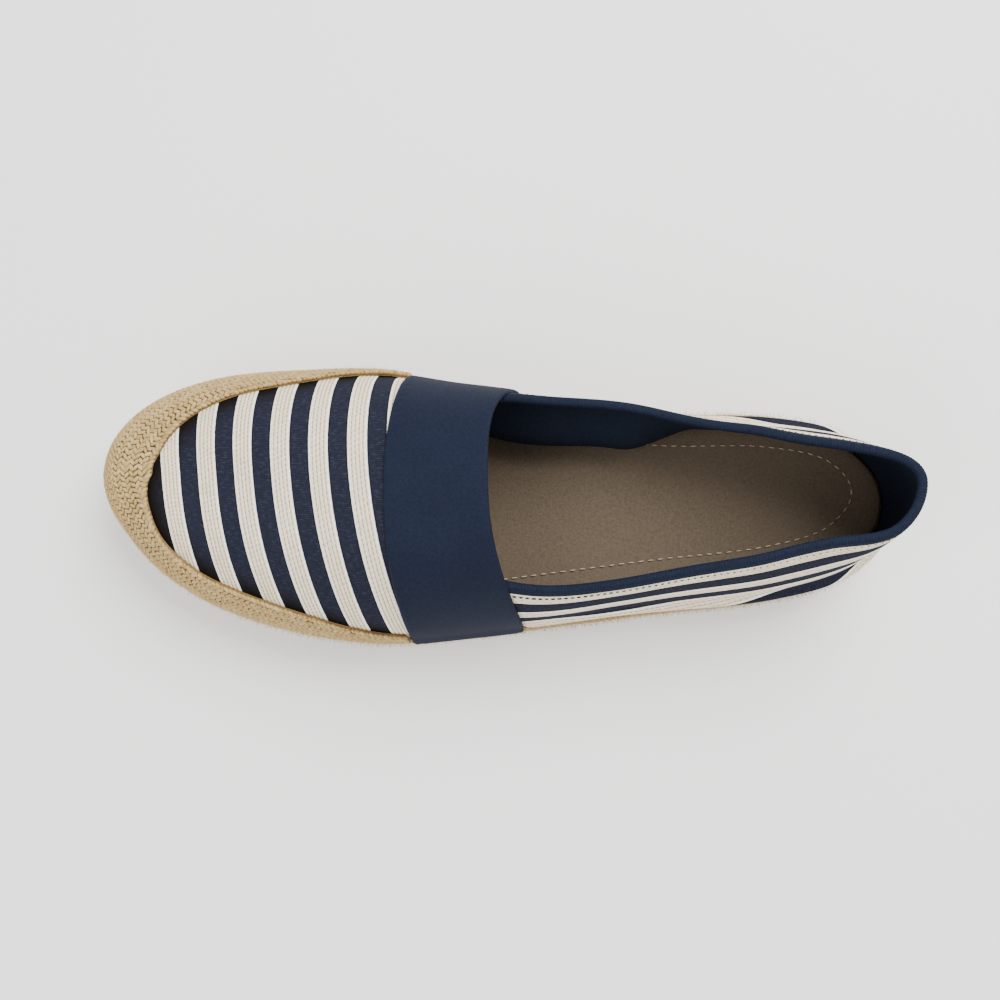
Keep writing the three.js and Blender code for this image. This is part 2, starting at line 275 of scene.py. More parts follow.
# A piece of cloth or jute: a grid of outer points and the same grid further in, closed all round
def sheetPiece(name, outer, inner, attributes=None):
    rows, columns = outer.shape[:2]
    points = np.concatenate([outer.reshape(-1, 3), inner.reshape(-1, 3)])
    count = rows * columns
    top = gridFaces(rows, columns)
    faces = list(top)
    faces += [tuple(count + k for k in reversed(face)) for face in top]
    first = list(range(columns))
    last = [(rows - 1) * columns + i for i in range(columns)]
    left = [j * columns for j in range(rows)]
    right = [j * columns + columns - 1 for j in range(rows)]
    around = first + right[1:] + last[::-1][1:] + left[::-1][1:-1]
    around.reverse()
    for a, b in zip(around, around[1:] + around[:1]):
        faces.append((b, a, count + a, count + b))
    corners = points[np.array(top)]
    normal = np.cross(corners[:, 2] - corners[:, 0], corners[:, 3] - corners[:, 1])
    out = (outer - inner).reshape(-1, 3)[np.array(top)].mean(axis=1)
    if np.sum(normal * out) < 0:
        faces = [face[::-1] for face in faces]
    doubled = {key: np.concatenate([value.reshape(count, -1).squeeze()] * 2)
               for key, value in (attributes or {}).items()}
    return meshObject(name, points, faces, doubled)


def smooth(obj):
    obj.data.polygons.foreach_set("use_smooth", [True] * len(obj.data.polygons))
    return obj


# Rides on the shoe with its material, smooth, and hides the parts it replaces
def finishPiece(obj, material, slot, *replaced):
    if material:
        obj.data.materials.clear()
        obj.data.materials.append(material)
    smooth(obj)
    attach(obj, "root")
    if replaced:
        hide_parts(*replaced)
    print(f"{obj.name}: {len(obj.data.polygons)} faces")
    return obj


def color(hexCode):
    channels = [int(hexCode[i:i + 2], 16) / 255 for i in (1, 3, 5)]
    return tuple(c / 12.92 if c <= 0.04045 else ((c + 0.055) / 1.055) ** 2.4 for c in channels) + (1,)


def addNode(tree, kind, settings=None, inputs=None):
    node = tree.nodes.new(kind)
    for name, value in (settings or {}).items():
        setattr(node, name, value)
    for name, value in (inputs or {}).items():
        if isinstance(value, bpy.types.NodeSocket):
            tree.links.new(value, node.inputs[name])
        else:
            node.inputs[name].default_value = value
    return node


def newMaterial(name, roughness, sheen=0.0, sheenTint="#ffffff", specular=0.12):
    material = bpy.data.materials.new(name)
    material.use_nodes = True
    tree = material.node_tree
    shader = tree.nodes["Principled BSDF"]
    shader.inputs["Roughness"].default_value = roughness
    shader.inputs["Sheen Weight"].default_value = sheen
    shader.inputs["Sheen Tint"].default_value = color(sheenTint)
    shader.inputs["Sheen Roughness"].default_value = 0.5
    shader.inputs["Specular IOR Level"].default_value = specular
    return material, tree, shader


# Cotton cloth woven in stripes: corded cream stripes with stitch dashes in their grooves, and plain
# navy stripes whose crosswise threads just show. Attribute cloth is the mm along the stripes, the
# count of stripes and the share of painted shade beside the bumper. The real threads are finer than these
# 0.55 mm.
def stripedCotton():
    material, tree, shader = newMaterial("striped cotton canvas", 0.92, 0.0, "#e8e4dc", 0.05)
    cloth = addNode(tree, "ShaderNodeAttribute", {"attribute_name": "cloth"})
    parts = addNode(tree, "ShaderNodeSeparateXYZ", {}, {0: cloth.outputs["Vector"]})
    along, count, paintedShade = parts.outputs[0], parts.outputs[1], parts.outputs[2]
    ragged = addNode(tree, "ShaderNodeTexNoise", {"noise_dimensions": "3D"},
                     {"Vector": cloth.outputs["Vector"], "Scale": 1.7, "Detail": 2.0})
    wander = addNode(tree, "ShaderNodeMath", {"operation": "MULTIPLY_ADD"},
                     {0: ragged.outputs["Fac"], 1: 0.02, 2: -0.01})
    # threads 0.55 mm apart run across the stripes and fray their edges
    threadRun = addNode(tree, "ShaderNodeMath", {"operation": "MULTIPLY"}, {0: along, 1: 1 / 0.55})
    thread = addNode(tree, "ShaderNodeMath", {"operation": "PINGPONG"}, {0: threadRun.outputs[0], 1: 0.5})
    frayed = addNode(tree, "ShaderNodeMath", {"operation": "MULTIPLY_ADD"},
                     {0: thread.outputs[0], 1: 0.022, 2: wander.outputs[0]})
    stripe = addNode(tree, "ShaderNodeMath", {"operation": "ADD"}, {0: count, 1: frayed.outputs[0]})
    turn = addNode(tree, "ShaderNodeMath", {"operation": "MULTIPLY_ADD"},
                   {0: stripe.outputs[0], 1: 2 * math.pi, 2: -math.pi / 2})
    side = addNode(tree, "ShaderNodeMath", {"operation": "COSINE"}, {0: turn.outputs[0]})
    isCream = addNode(tree, "ShaderNodeMapRange", {"interpolation_type": "SMOOTHSTEP"},
                      {"Value": side.outputs[0], "From Min": -0.05, "From Max": 0.05})
    # five cords to a cream stripe
    cordCount = addNode(tree, "ShaderNodeMath", {"operation": "MULTIPLY"}, {0: stripe.outputs[0], 1: 10.0})
    cord = addNode(tree, "ShaderNodeMath", {"operation": "PINGPONG"}, {0: cordCount.outputs[0], 1: 0.5})
    groove = addNode(tree, "ShaderNodeMapRange", {"interpolation_type": "SMOOTHSTEP"},
                     {"Value": cord.outputs[0], "From Min": 0.2, "From Max": 0.04})
    cordNumber = addNode(tree, "ShaderNodeMath", {"operation": "ROUND"}, {0: cordCount.outputs[0]})
    shift = addNode(tree, "ShaderNodeMath", {"operation": "MULTIPLY"}, {0: cordNumber.outputs[0], 1: 0.37})
    dashRun = addNode(tree, "ShaderNodeMath", {"operation": "MULTIPLY_ADD"},
                      {0: along, 1: 1 / 1.6, 2: shift.outputs[0]})
    dashWave = addNode(tree, "ShaderNodeMath", {"operation": "PINGPONG"}, {0: dashRun.outputs[0], 1: 0.5})
    dash = addNode(tree, "ShaderNodeMapRange", {}, {"Value": dashWave.outputs[0], "From Min": 0.2,
                                                    "From Max": 0.3})
    dashMask = addNode(tree, "ShaderNodeMath", {"operation": "MULTIPLY"},
                       {0: groove.outputs[0], 1: dash.outputs[0]})
    place = addNode(tree, "ShaderNodeTexCoord")
    mottle = addNode(tree, "ShaderNodeTexNoise", {}, {"Vector": place.outputs["Object"], "Scale": 900.0,
                                                      "Detail": 3.0})
    fleck = addNode(tree, "ShaderNodeTexNoise", {}, {"Vector": place.outputs["Object"], "Scale": 60.0,
                                                     "Detail": 2.0})
    creamTone = addNode(tree, "ShaderNodeMix", {"data_type": "RGBA"},
                        {0: fleck.outputs["Fac"], 6: color("#e2d1b3"), 7: color("#f4e8cf")})
    # painted shade in the grooves between the cords
    creamWithGrooveShade = addNode(tree, "ShaderNodeMix", {"data_type": "RGBA", "blend_type": "MULTIPLY"},
                          {0: groove.outputs[0], 6: creamTone.outputs[2], 7: color("#d9cfc2")})
    cream = addNode(tree, "ShaderNodeMix", {"data_type": "RGBA"},
                    {0: dashMask.outputs[0], 6: creamWithGrooveShade.outputs[2], 7: color("#8b8177")})
    edge = addNode(tree, "ShaderNodeMapRange", {"interpolation_type": "SMOOTHSTEP"},
                   {"Value": side.outputs[0], "From Min": 0.42, "From Max": 0.12})
    creamEdged = addNode(tree, "ShaderNodeMix", {"data_type": "RGBA"},
                         {0: edge.outputs[0], 6: cream.outputs[2], 7: color("#faf6ec")})
    # single threads catch the light
    stretched = addNode(tree, "ShaderNodeVectorMath", {"operation": "MULTIPLY"},
                        {0: cloth.outputs["Vector"], 1: (1.8, 7.0, 1.0)})
    spark = addNode(tree, "ShaderNodeTexNoise", {}, {"Vector": stretched.outputs[0], "Scale": 1.0,
                                                     "Detail": 2.0})
    bright = addNode(tree, "ShaderNodeMapRange", {}, {"Value": spark.outputs["Fac"], "From Min": 0.5,
                                                      "From Max": 0.8, "To Min": 0.3, "To Max": 2.2})
    lit = addNode(tree, "ShaderNodeMath", {"operation": "MULTIPLY", "use_clamp": True},
                  {0: thread.outputs[0], 1: bright.outputs[0]})
    navyTone = addNode(tree, "ShaderNodeMix", {"data_type": "RGBA"},
                       {0: lit.outputs[0], 6: color("#1c1e2a"), 7: color("#3c3d4a")})
    navyEdge = addNode(tree, "ShaderNodeMapRange", {"interpolation_type": "SMOOTHSTEP"},
                       {"Value": side.outputs[0], "From Min": -0.3, "From Max": -0.06})
    navy = addNode(tree, "ShaderNodeMix", {"data_type": "RGBA"},
                   {0: navyEdge.outputs[0], 6: navyTone.outputs[2], 7: color("#0f1018")})
    # painted shade: the navy turns near black-brown close to the bumper
    navyWithPaintedShade = addNode(tree, "ShaderNodeMix", {"data_type": "RGBA"},
                         {0: paintedShade, 6: navy.outputs[2], 7: color("#15120f")})
    both = addNode(tree, "ShaderNodeMix", {"data_type": "RGBA"},
                   {0: isCream.outputs[0], 6: navyWithPaintedShade.outputs[2], 7: creamEdged.outputs[2]})
    grain = addNode(tree, "ShaderNodeMapRange", {}, {"Value": mottle.outputs["Fac"], "From Min": 0.3,
                                                     "From Max": 0.7, "To Min": 0.86, "To Max": 1.1})
    final = addNode(tree, "ShaderNodeMix", {"data_type": "RGBA", "blend_type": "MULTIPLY"},
                    {0: 1.0, 6: both.outputs[2], 7: grain.outputs[0]})
    tree.links.new(final.outputs[2], shader.inputs["Base Color"])
    relief = addNode(tree, "ShaderNodeMath", {"operation": "MULTIPLY_ADD"},
                     {0: thread.outputs[0], 1: 0.5, 2: mottle.outputs["Fac"]})
    bump = addNode(tree, "ShaderNodeBump", {}, {"Height": relief.outputs[0], "Strength": 0.5,
                                                "Distance": 0.0002})
    tree.links.new(bump.outputs[0], shader.inputs["Normal"])
    return material


# Plain woven cotton or elastic: fine ribs both ways, counted in mm on attribute cloth, matt with a
# faint sheen and a slightly uneven tone
def plainWeave(name, dark, light, pitchAlong, pitchAcross, roughness=0.9, sheen=0.15, bumpStrength=0.5):
    material, tree, shader = newMaterial(name, roughness, sheen, light)
    cloth = addNode(tree, "ShaderNodeAttribute", {"attribute_name": "cloth"})
    parts = addNode(tree, "ShaderNodeSeparateXYZ", {}, {0: cloth.outputs["Vector"]})
    waves = []
    for part, pitch in ((0, pitchAlong), (1, pitchAcross)):
        run = addNode(tree, "ShaderNodeMath", {"operation": "MULTIPLY"},
                      {0: parts.outputs[part], 1: 1 / pitch})
        waves.append(addNode(tree, "ShaderNodeMath", {"operation": "PINGPONG"}, {0: run.outputs[0], 1: 0.5}))
    weave = addNode(tree, "ShaderNodeMath", {"operation": "ADD"},
                    {0: waves[0].outputs[0], 1: waves[1].outputs[0]})
    place = addNode(tree, "ShaderNodeTexCoord")
    fibre = addNode(tree, "ShaderNodeTexNoise", {}, {"Vector": place.outputs["Object"], "Scale": 1100.0,
                                                     "Detail": 3.0})
    patch = addNode(tree, "ShaderNodeTexNoise", {}, {"Vector": place.outputs["Object"], "Scale": 45.0,
                                                     "Detail": 3.0})
    mixed = addNode(tree, "ShaderNodeMath", {"operation": "MULTIPLY_ADD"},
                    {0: weave.outputs[0], 1: 0.45, 2: fibre.outputs["Fac"]})
    level = addNode(tree, "ShaderNodeMapRange", {}, {"Value": mixed.outputs[0], "From Min": 0.35,
                                                     "From Max": 1.05})
    tone = addNode(tree, "ShaderNodeMix", {"data_type": "RGBA"},
                   {0: level.outputs[0], 6: color(dark), 7: color(light)})
    wash = addNode(tree, "ShaderNodeMapRange", {}, {"Value": patch.outputs["Fac"], "From Min": 0.3,
                                                    "From Max": 0.7, "To Min": 0.9, "To Max": 1.1})
    final = addNode(tree, "ShaderNodeMix", {"data_type": "RGBA", "blend_type": "MULTIPLY"},
                    {0: 1.0, 6: tone.outputs[2], 7: wash.outputs[0]})
    tree.links.new(final.outputs[2], shader.inputs["Base Color"])
    bump = addNode(tree, "ShaderNodeBump", {}, {"Height": mixed.outputs[0], "Strength": bumpStrength,
                                                "Distance": 0.0002})
    tree.links.new(bump.outputs[0], shader.inputs["Normal"])
    return material


# Braided jute yarn: each strand has its own tone, with fibres along it and painted shade at its foot.
# Attribute strand is the place in the strand, tint a random number of its own.
def juteYarn():
    material, tree, shader = newMaterial("braided jute", 0.95, 0.15, "#e8dcc0")
    strand = addNode(tree, "ShaderNodeAttribute", {"attribute_name": "strand"})
    tint = addNode(tree, "ShaderNodeAttribute", {"attribute_name": "tint"})
    parts = addNode(tree, "ShaderNodeSeparateXYZ", {}, {0: strand.outputs["Vector"]})
    stretched = addNode(tree, "ShaderNodeVectorMath", {"operation": "MULTIPLY"},
                        {0: strand.outputs["Vector"], 1: (2.0, 16.0, 9.0)})
    away = addNode(tree, "ShaderNodeMath", {"operation": "MULTIPLY"}, {0: tint.outputs["Fac"], 1: 57.0})
    moved = addNode(tree, "ShaderNodeVectorMath", {"operation": "ADD"},
                    {0: stretched.outputs[0], 1: away.outputs[0]})
    fibres = addNode(tree, "ShaderNodeTexNoise", {}, {"Vector": moved.outputs[0], "Scale": 1.0,
                                                      "Detail": 3.0, "Roughness": 0.65})
    tones = addNode(tree, "ShaderNodeValToRGB", {}, {0: tint.outputs["Fac"]})
    ramp = tones.color_ramp
    ramp.elements[0].color = color("#af9360")
    ramp.elements[1].color = color("#caaf7d")
    for at, code in ((0.3, "#b99d69"), (0.6, "#c1a672"), (0.8, "#be9d6a")):
        ramp.elements.new(at).color = color(code)
    streak = addNode(tree, "ShaderNodeMapRange", {}, {"Value": fibres.outputs["Fac"], "From Min": 0.3,
                                                      "From Max": 0.7, "To Min": 0.84, "To Max": 1.1})
    yarn = addNode(tree, "ShaderNodeMix", {"data_type": "RGBA", "blend_type": "MULTIPLY"},
                   {0: 1.0, 6: tones.outputs[0], 7: streak.outputs[0]})
    # painted shade on the underside of each strand, where it dips under its neighbours
    depth = addNode(tree, "ShaderNodeMapRange", {"interpolation_type": "SMOOTHSTEP"},
                    {"Value": parts.outputs[2], "From Min": 0.3, "From Max": -0.15})
    final = addNode(tree, "ShaderNodeMix", {"data_type": "RGBA"},
                    {0: depth.outputs[0], 6: yarn.outputs[2], 7: color("#8a6c42")})
    tree.links.new(final.outputs[2], shader.inputs["Base Color"])
    bump = addNode(tree, "ShaderNodeBump", {}, {"Height": fibres.outputs["Fac"], "Strength": 0.6,
                                                "Distance": 0.0003})
    tree.links.new(bump.outputs[0], shader.inputs["Normal"])
    return material


# Jute filler under the braid: rough and fibrous, seen only in the slits, and painted darker than the strands
# as the shade in the slits
def juteCore():
    material, tree, shader = newMaterial("jute filler with painted slit shade", 1.0)
    place = addNode(tree, "ShaderNodeTexCoord")
    fibre = addNode(tree, "ShaderNodeTexNoise", {}, {"Vector": place.outputs["Object"], "Scale": 700.0,
                                                     "Detail": 4.0})
    # dark jute tones: the filler's own colour darkened as painted shade
    tone = addNode(tree, "ShaderNodeMix", {"data_type": "RGBA"},
                   {0: fibre.outputs["Fac"], 6: color("#6b5330"), 7: color("#a08452")})
    tree.links.new(tone.outputs[2], shader.inputs["Base Color"])
    bump = addNode(tree, "ShaderNodeBump", {}, {"Height": fibre.outputs["Fac"], "Strength": 0.8,
                                                "Distance": 0.0004})
    tree.links.new(bump.outputs[0], shader.inputs["Normal"])
    return material


# Rubber, suede and thread: no weave of their own, only a fine uneven grain
def mottled(name, dark, light, scale, roughness, bumpDistance, sheen=0.0):
    material, tree, shader = newMaterial(name, roughness, sheen, light)
    place = addNode(tree, "ShaderNodeTexCoord")
    noise = addNode(tree, "ShaderNodeTexNoise", {}, {"Vector": place.outputs["Object"], "Scale": scale,
                                                     "Detail": 4.0})
    level = addNode(tree, "ShaderNodeMapRange", {}, {"Value": noise.outputs["Fac"], "From Min": 0.3,
                                                     "From Max": 0.7})
    tone = addNode(tree, "ShaderNodeMix", {"data_type": "RGBA"},
                   {0: level.outputs[0], 6: color(dark), 7: color(light)})
    tree.links.new(tone.outputs[2], shader.inputs["Base Color"])
    bump = addNode(tree, "ShaderNodeBump", {}, {"Height": noise.outputs["Fac"], "Strength": 0.5,
                                                "Distance": bumpDistance})
    tree.links.new(bump.outputs[0], shader.inputs["Normal"])
    return material


canvas = stripedCotton()
elasticWeb = plainWeave("woven elastic", "#111624", "#191f31", 0.5, 0.5, 0.85, 0.02, 0.25)
grosgrain = plainWeave("grosgrain binding", "#101522", "#1b2234", 0.9, 40.0, 0.9, 0.03, 0.3)
drill = plainWeave("navy cotton lining", "#10151f", "#191f2d", 0.7, 0.7, 0.9, 0.03)
calico = plainWeave("calico lining", "#a8987f", "#d0c2a8", 0.7, 0.7)
jute = juteYarn()
slitShadeFiller = juteCore()
sockCloth = mottled("suede sock", "#574c3f", "#655849", 1400.0, 0.85, 0.00008, 0.05)
tanThread = mottled("tan thread", "#a39480", "#c0b09a", 3000.0, 0.85, 0.0001)
navyThread = mottled("navy thread", "#10141f", "#20283c", 3000.0, 0.85, 0.0001)
bandThread = mottled("blue-black thread", "#121828", "#1c2438", 3000.0, 0.85, 0.0001)
crepe = mottled("natural rubber", "#c7ab93", "#d8bfa8", 260.0, 0.7, 0.0002)

print("materials ready")


# Sets one small bulge after another along the guides' edges. The guides carry their own attributes:
# out (the way the bulge looks), slant (radians from the line) and size (a factor on all of it).
# Spacing, length, width and height are in metres.
def bulgeTree():
    tree = bpy.data.node_groups.new("bulges along guides", "GeometryNodeTree")
    tree.interface.new_socket("Geometry", in_out="INPUT", socket_type="NodeSocketGeometry")
    for name, kind, value in (("Spacing", "NodeSocketFloat", 0.002), ("Length", "NodeSocketFloat", 0.003),
                              ("Width", "NodeSocketFloat", 0.0014), ("Height", "NodeSocketFloat", 0.001),
                              ("Unevenness", "NodeSocketFloat", 0.1), ("Seed", "NodeSocketInt", 1),
                              ("Segments", "NodeSocketInt", 8), ("Material", "NodeSocketMaterial", None)):
        socket = tree.interface.new_socket(name, in_out="INPUT", socket_type=kind)
        if value is not None:
            socket.default_value = value
    tree.interface.new_socket("Geometry", in_out="OUTPUT", socket_type="NodeSocketGeometry")
    given = addNode(tree, "NodeGroupInput").outputs
    line = addNode(tree, "GeometryNodeMeshToCurve", {}, {0: given["Geometry"]})
    even = addNode(tree, "GeometryNodeResampleCurve", {"mode": "LENGTH"},
                   {"Curve": line.outputs[0], "Length": given["Spacing"]})
    out = addNode(tree, "GeometryNodeInputNamedAttribute", {"data_type": "FLOAT_VECTOR"}, {"Name": "out"})
    slant = addNode(tree, "GeometryNodeInputNamedAttribute", {"data_type": "FLOAT"}, {"Name": "slant"})
    size = addNode(tree, "GeometryNodeInputNamedAttribute", {"data_type": "FLOAT"}, {"Name": "size"})
    along = addNode(tree, "GeometryNodeInputTangent")
    facing = addNode(tree, "FunctionNodeAxesToRotation", {"primary_axis": "Z", "secondary_axis": "X"},
                     {0: out.outputs[0], 1: along.outputs[0]})
    spread = addNode(tree, "ShaderNodeMath", {"operation": "MULTIPLY"}, {0: given["Unevenness"], 1: -1.0})
    wobble = addNode(tree, "FunctionNodeRandomValue", {"data_type": "FLOAT"},
                     {2: spread.outputs[0], 3: given["Unevenness"], "Seed": given["Seed"]})
    lean = addNode(tree, "ShaderNodeMath", {"operation": "ADD"}, {0: slant.outputs[0], 1: wobble.outputs[1]})
    turned = addNode(tree, "FunctionNodeAxisAngleToRotation", {},
                     {"Axis": (0, 0, 1), "Angle": lean.outputs[0]})
    rotation = addNode(tree, "FunctionNodeRotateRotation", {"rotation_space": "LOCAL"},
                       {0: facing.outputs[0], 1: turned.outputs[0]})
    nextSeed = addNode(tree, "ShaderNodeMath", {"operation": "ADD"}, {0: given["Seed"], 1: 1.0})
    growth = addNode(tree, "FunctionNodeRandomValue", {"data_type": "FLOAT"},
                     {2: spread.outputs[0], 3: given["Unevenness"], "Seed": nextSeed.outputs[0]})
    factor = addNode(tree, "ShaderNodeMath", {"operation": "MULTIPLY_ADD"},
                     {0: growth.outputs[1], 1: size.outputs[0], 2: size.outputs[0]})
    scale = addNode(tree, "ShaderNodeCombineXYZ", {},
                    {0: given["Length"], 1: given["Width"], 2: given["Height"]})
    scaled = addNode(tree, "ShaderNodeVectorMath", {"operation": "SCALE"},
                     {0: scale.outputs[0], "Scale": factor.outputs[0]})
    bulge = addNode(tree, "GeometryNodeMeshUVSphere", {}, {"Segments": given["Segments"], "Rings": 4,
                                                           "Radius": 0.5})
    # the sphere's poles go to the ends of the strand
    laid = addNode(tree, "GeometryNodeTransform", {}, {"Geometry": bulge.outputs[0],
                                                       "Rotation": (0, math.pi / 2, 0)})
    inside = addNode(tree, "GeometryNodeInputPosition")
    marked = addNode(tree, "GeometryNodeStoreNamedAttribute",
                     {"data_type": "FLOAT_VECTOR", "domain": "POINT"},
                     {"Geometry": laid.outputs[0], "Name": "strand", "Value": inside.outputs[0]})
    placed = addNode(tree, "GeometryNodeInstanceOnPoints", {},
                     {"Points": even.outputs[0], "Instance": marked.outputs[0],
                      "Rotation": rotation.outputs[0], "Scale": scaled.outputs[0]})
    chance = addNode(tree, "FunctionNodeRandomValue", {"data_type": "FLOAT"}, {2: 0.0, 3: 1.0, "Seed": 7})
    tinted = addNode(tree, "GeometryNodeStoreNamedAttribute", {"data_type": "FLOAT", "domain": "INSTANCE"},
                     {"Geometry": placed.outputs[0], "Name": "tint", "Value": chance.outputs[1]})
    real = addNode(tree, "GeometryNodeRealizeInstances", {}, {0: tinted.outputs[0]})
    rounded = addNode(tree, "GeometryNodeSetShadeSmooth", {}, {"Geometry": real.outputs[0]})
    dressed = addNode(tree, "GeometryNodeSetMaterial", {}, {"Geometry": rounded.outputs[0],
                                                            "Material": given["Material"]})
    addNode(tree, "NodeGroupOutput", {}, {0: dressed.outputs[0]})
    return tree


bulges = bulgeTree()


# Runs the tree on guide lines and returns the plain mesh. guides: list of (points, out, slant, size)
def bulgesAlong(name, guides, material, **inputs):
    points, outs, slants, sizes, edges = [], [], [], [], []
    start = 0
    for line, out, slant, size in guides:
        count = len(line)
        points.append(line)
        outs.append(out)
        slants.append(np.broadcast_to(slant, (count,)))
        sizes.append(np.broadcast_to(size, (count,)))
        edges += [(start + i, start + i + 1) for i in range(count - 1)]
        start += count
    guide = meshObject(name + " guide", np.concatenate(points), [],
                       {"out": np.concatenate(outs), "slant": np.concatenate(slants),
                        "size": np.concatenate(sizes)}, edges)
    modifier = guide.modifiers.new("bulges", "NODES")
    modifier.node_group = bulges
    inputs["Material"] = material
    for item in bulges.interface.items_tree:
        if item.item_type == "SOCKET" and item.in_out == "INPUT" and item.name in inputs:
            modifier[item.identifier] = inputs[item.name]
    bpy.context.view_layer.update()
    evaluated = guide.evaluated_get(bpy.context.evaluated_depsgraph_get())
    mesh = bpy.data.meshes.new_from_object(evaluated)
    mesh.name = name
    bpy.data.objects.remove(guide)
    obj = bpy.data.objects.new(name, mesh)
    bpy.context.scene.collection.objects.link(obj)
    return obj


# Makes one object of several, keeping their materials
def joined(name, objects):
    with bpy.context.temp_override(active_object=objects[0], selected_editable_objects=objects,
                                   selected_objects=objects):
        bpy.ops.object.join()
    objects[0].name = name
    objects[0].data.name = name
    return objects[0]


bumper = {
    "end": 155.5,  # on both sides, just ahead of the band
    "edgeFrom": 0.58,  # place where its upper edge leaves the sole; the other end mirrors it
    "gap": 0.3,
    "thick": 2.0,
    "roll": 1.5,  # width of the row turned over the upper edge
}


# The climb at which the bumper ends
def bumperTop(places):
    def above(climb):
        return onLast(places, climb)[..., 2] - bumperHeight(places)

    return firstWhere(above, np.zeros(len(places)), np.ones(len(places)))


vamp = {
    "period": 12.0,  # one cream and one navy stripe
    "firstEdge": 229.3,  # toe side of the first cream stripe, on the ridge
    "skew": 0.115,  # stripes run back this much per mm towards the outer side
    "bow": 0.0026,  # and this much per square mm away from the ridge
    "cords": 5,
    "cordHeight": 0.2,
    "thick": 0.9,
    "columns": 64,
    "edgeSamples": 160,
    "paintedShade": 5.5,  # how far from the bumper the painted shade still darkens the navy
    "toeLine": 239.0,
    "mouthLine": 150.0,
}


# How far along the shoe a point lies, counted along the stripes: the same all along one stripe
def stripeLine(place, climb):
    p = onLast(place, climb)
    ridge = ridgeOf(outline(place)[0])
    aside = p[..., 1] - ridgeMiddle(ridge)
    return p[..., 0] + vamp["skew"] * aside + vamp["bow"] * aside**2


# Height of the cords over the cloth, from the stripe count
def cordRelief(count):
    cream = np.clip(np.sin(2 * math.pi * count) * 3, 0, 1)
    cord = np.abs(np.sin(2 * math.pi * vamp["cords"] * count)) ** 0.6
    return vamp["cordHeight"] * cream * cord


def stripeCounts(low, high):
    perPeriod = [i / (12 * vamp["cords"]) for i in range(6 * vamp["cords"])]
    perPeriod += [0.5 + i / 16 for i in range(8)]
    counts = [whole + part for whole in range(math.floor(low), math.ceil(high) + 1) for part in perPeriod]
    return np.array([count for count in counts if low <= count <= high])


def vampPiece():
    low = (vamp["firstEdge"] - vamp["toeLine"]) / vamp["period"]
    high = (vamp["firstEdge"] - vamp["mouthLine"]) / vamp["period"]
    counts = stripeCounts(low, high)
    lines = vamp["firstEdge"] - counts * vamp["period"]
    # ahead of the ridge's end a stripe stays below the ridge and crosses the toe's tip
    overTip = firstWhere(lambda climb: lines - stripeLine(np.ones(len(lines)), climb),
                         np.zeros(len(lines)), np.ones(len(lines)))
    way = np.linspace(-1, 1, vamp["columns"] + 1)
    climb = (1 - np.abs(way))[None, :] * overTip[:, None]
    outer = way > 0
    target = np.broadcast_to(lines[:, None], climb.shape)

    def beyond(turn):
        place = np.where(outer[None, :], turn, 2 - turn)
        return stripeLine(place, climb) - target

    turn = firstWhere(beyond, np.zeros(climb.shape), np.ones(climb.shape))
    place = np.where(outer[None, :], turn, 2 - turn)
    base = onLast(place, climb)
    normal = lastNormal(place, climb)
    relief = cordRelief(counts)[:, None, None]
    top = base + normal * relief
    bottom = base - normal * vamp["thick"]
    middleRow = base[len(base) // 2]
    along = lengthAlong(middleRow)
    cloth = np.zeros(base.shape)
    cloth[..., 0] = along[None, :]
    cloth[..., 1] = counts[:, None]
    # and painted shade on the navy, strongest close to the bumper's edge
    around = np.linspace(bumper["edgeFrom"], 2 - bumper["edgeFrom"], vamp["edgeSamples"])
    edge = onLast(around, bumperTop(around))
    away = np.min(np.linalg.norm(base[:, :, None] - edge[None, None], axis=-1), axis=-1)
    cloth[..., 2] = np.exp(-((away / vamp["paintedShade"]) ** 2))
    piece = sheetPiece("vamp", top, bottom, {"cloth": cloth})
    return finishPiece(piece, canvas, "striped_cloth", "upper")


quarters = {
    "throat": 132.0,  # the sides part here, under the band
    "binding": 3.3,  # the stripes start this far below the topline
    "period": 13.0,
    "creamShare": 0.44,  # of a period
    "columns": 200,  # a side
    "rows": 120,
    "thick": 0.9,
    "liningThick": 0.8,
    "roll": 1.4,  # the cloth rolls out this far over the ledge of the sole
    "rollHeel": 2.4,
    "rollAt": 3.2,  # above the foot of the cloth
    "rollWidth": 2.4,
    "seamDepth": 0.45,
    "seamWidth": 0.8,
    "slack": 11.0,  # the lining hangs this far off the wall inside, on the inner side of the foot
    "slackFrom": 66.0,
    "slackFull": 88.0,
    "rollEnd": 122.0,  # nothing rolls out under the band
}

throatTurn = float(turnOf(stationUnder(quarters["throat"])))


# Places from the throat on the inner side, round the heel, to the throat on the outer side
def heelPlaces(count):
    return np.linspace(-throatTurn, throatTurn, 2 * count + 1)


